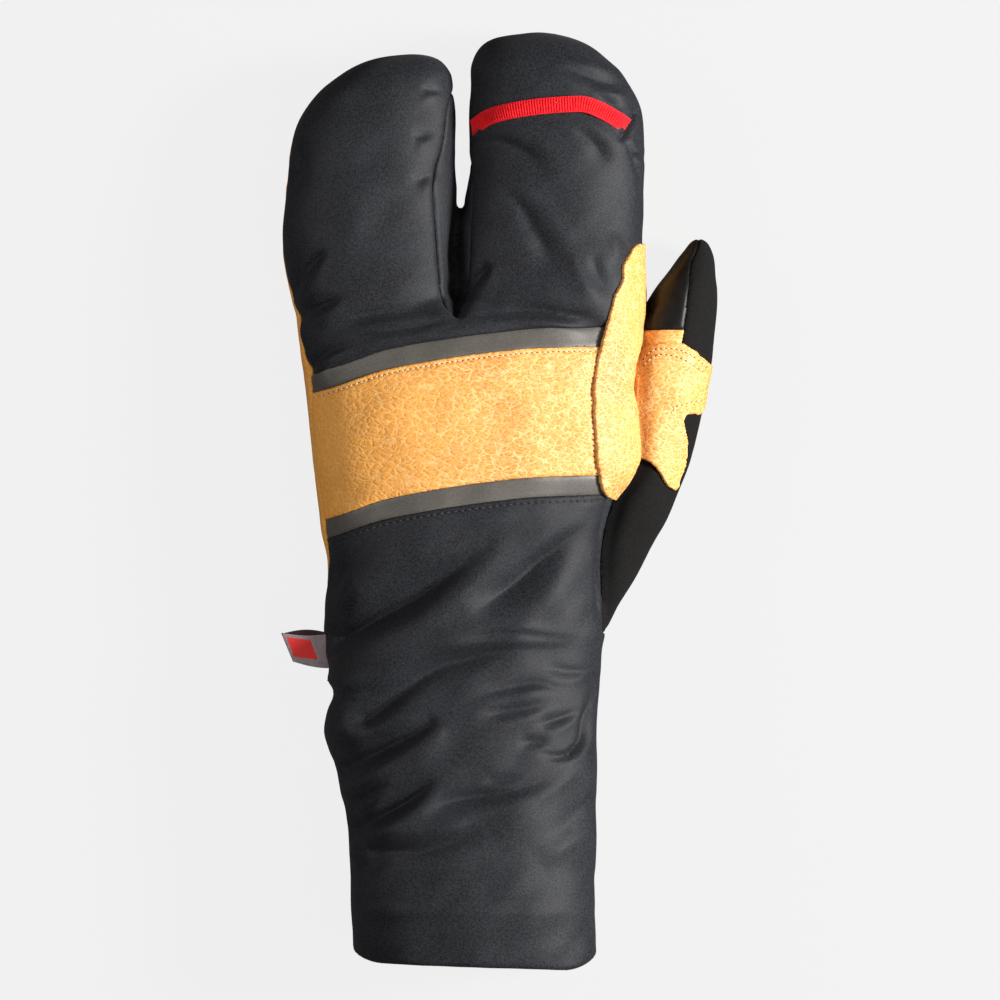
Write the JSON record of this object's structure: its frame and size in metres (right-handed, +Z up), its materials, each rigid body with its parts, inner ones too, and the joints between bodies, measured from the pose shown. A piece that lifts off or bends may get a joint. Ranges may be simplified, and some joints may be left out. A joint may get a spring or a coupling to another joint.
{
  "type": "lobster claw mitt",
  "caption": "Left-hand insulated winter mitt with two finger stalls, a thumb, a leather palm and knuckle band, and a long gauntlet cuff.",
  "frame": {"origin": "middle of the mitt's outline seen from above, on the surface that it lies on, palm down", "axes": "+Y from the cuff towards the fingertips, +X towards the thumb, +Z up out of the back of the hand"},
  "size_m": [0.1484, 0.3182, 0.059],
  "materials": {
    "softshell": "matte black woven softshell",
    "tan_leather": "pebbled tan leather with fine pale creases",
    "grey_tape": "satin grey reflective tape",
    "matte_black": "matte black suede-like cloth",
    "gloss_black": "smooth glossy black touch leather",
    "red_ribbon": "ribbed red grosgrain",
    "label_cloth": "woven grey label tape"
  },
  "bodies": {
    "root": {"finger_shell": "softshell", "slot_gusset": "softshell", "upper_strip": "grey_tape", "knuckle_band": "tan_leather", "lower_strip": "grey_tape", "gauntlet": "softshell", "palm": "tan_leather", "thumb_back": "matte_black", "thumb_pad": "gloss_black", "thumb_web": "tan_leather", "index_wrap": "tan_leather", "crotch_patch": "tan_leather", "pull_ribbon": "red_ribbon", "side_label": "label_cloth"}
  },
  "joints": []
}
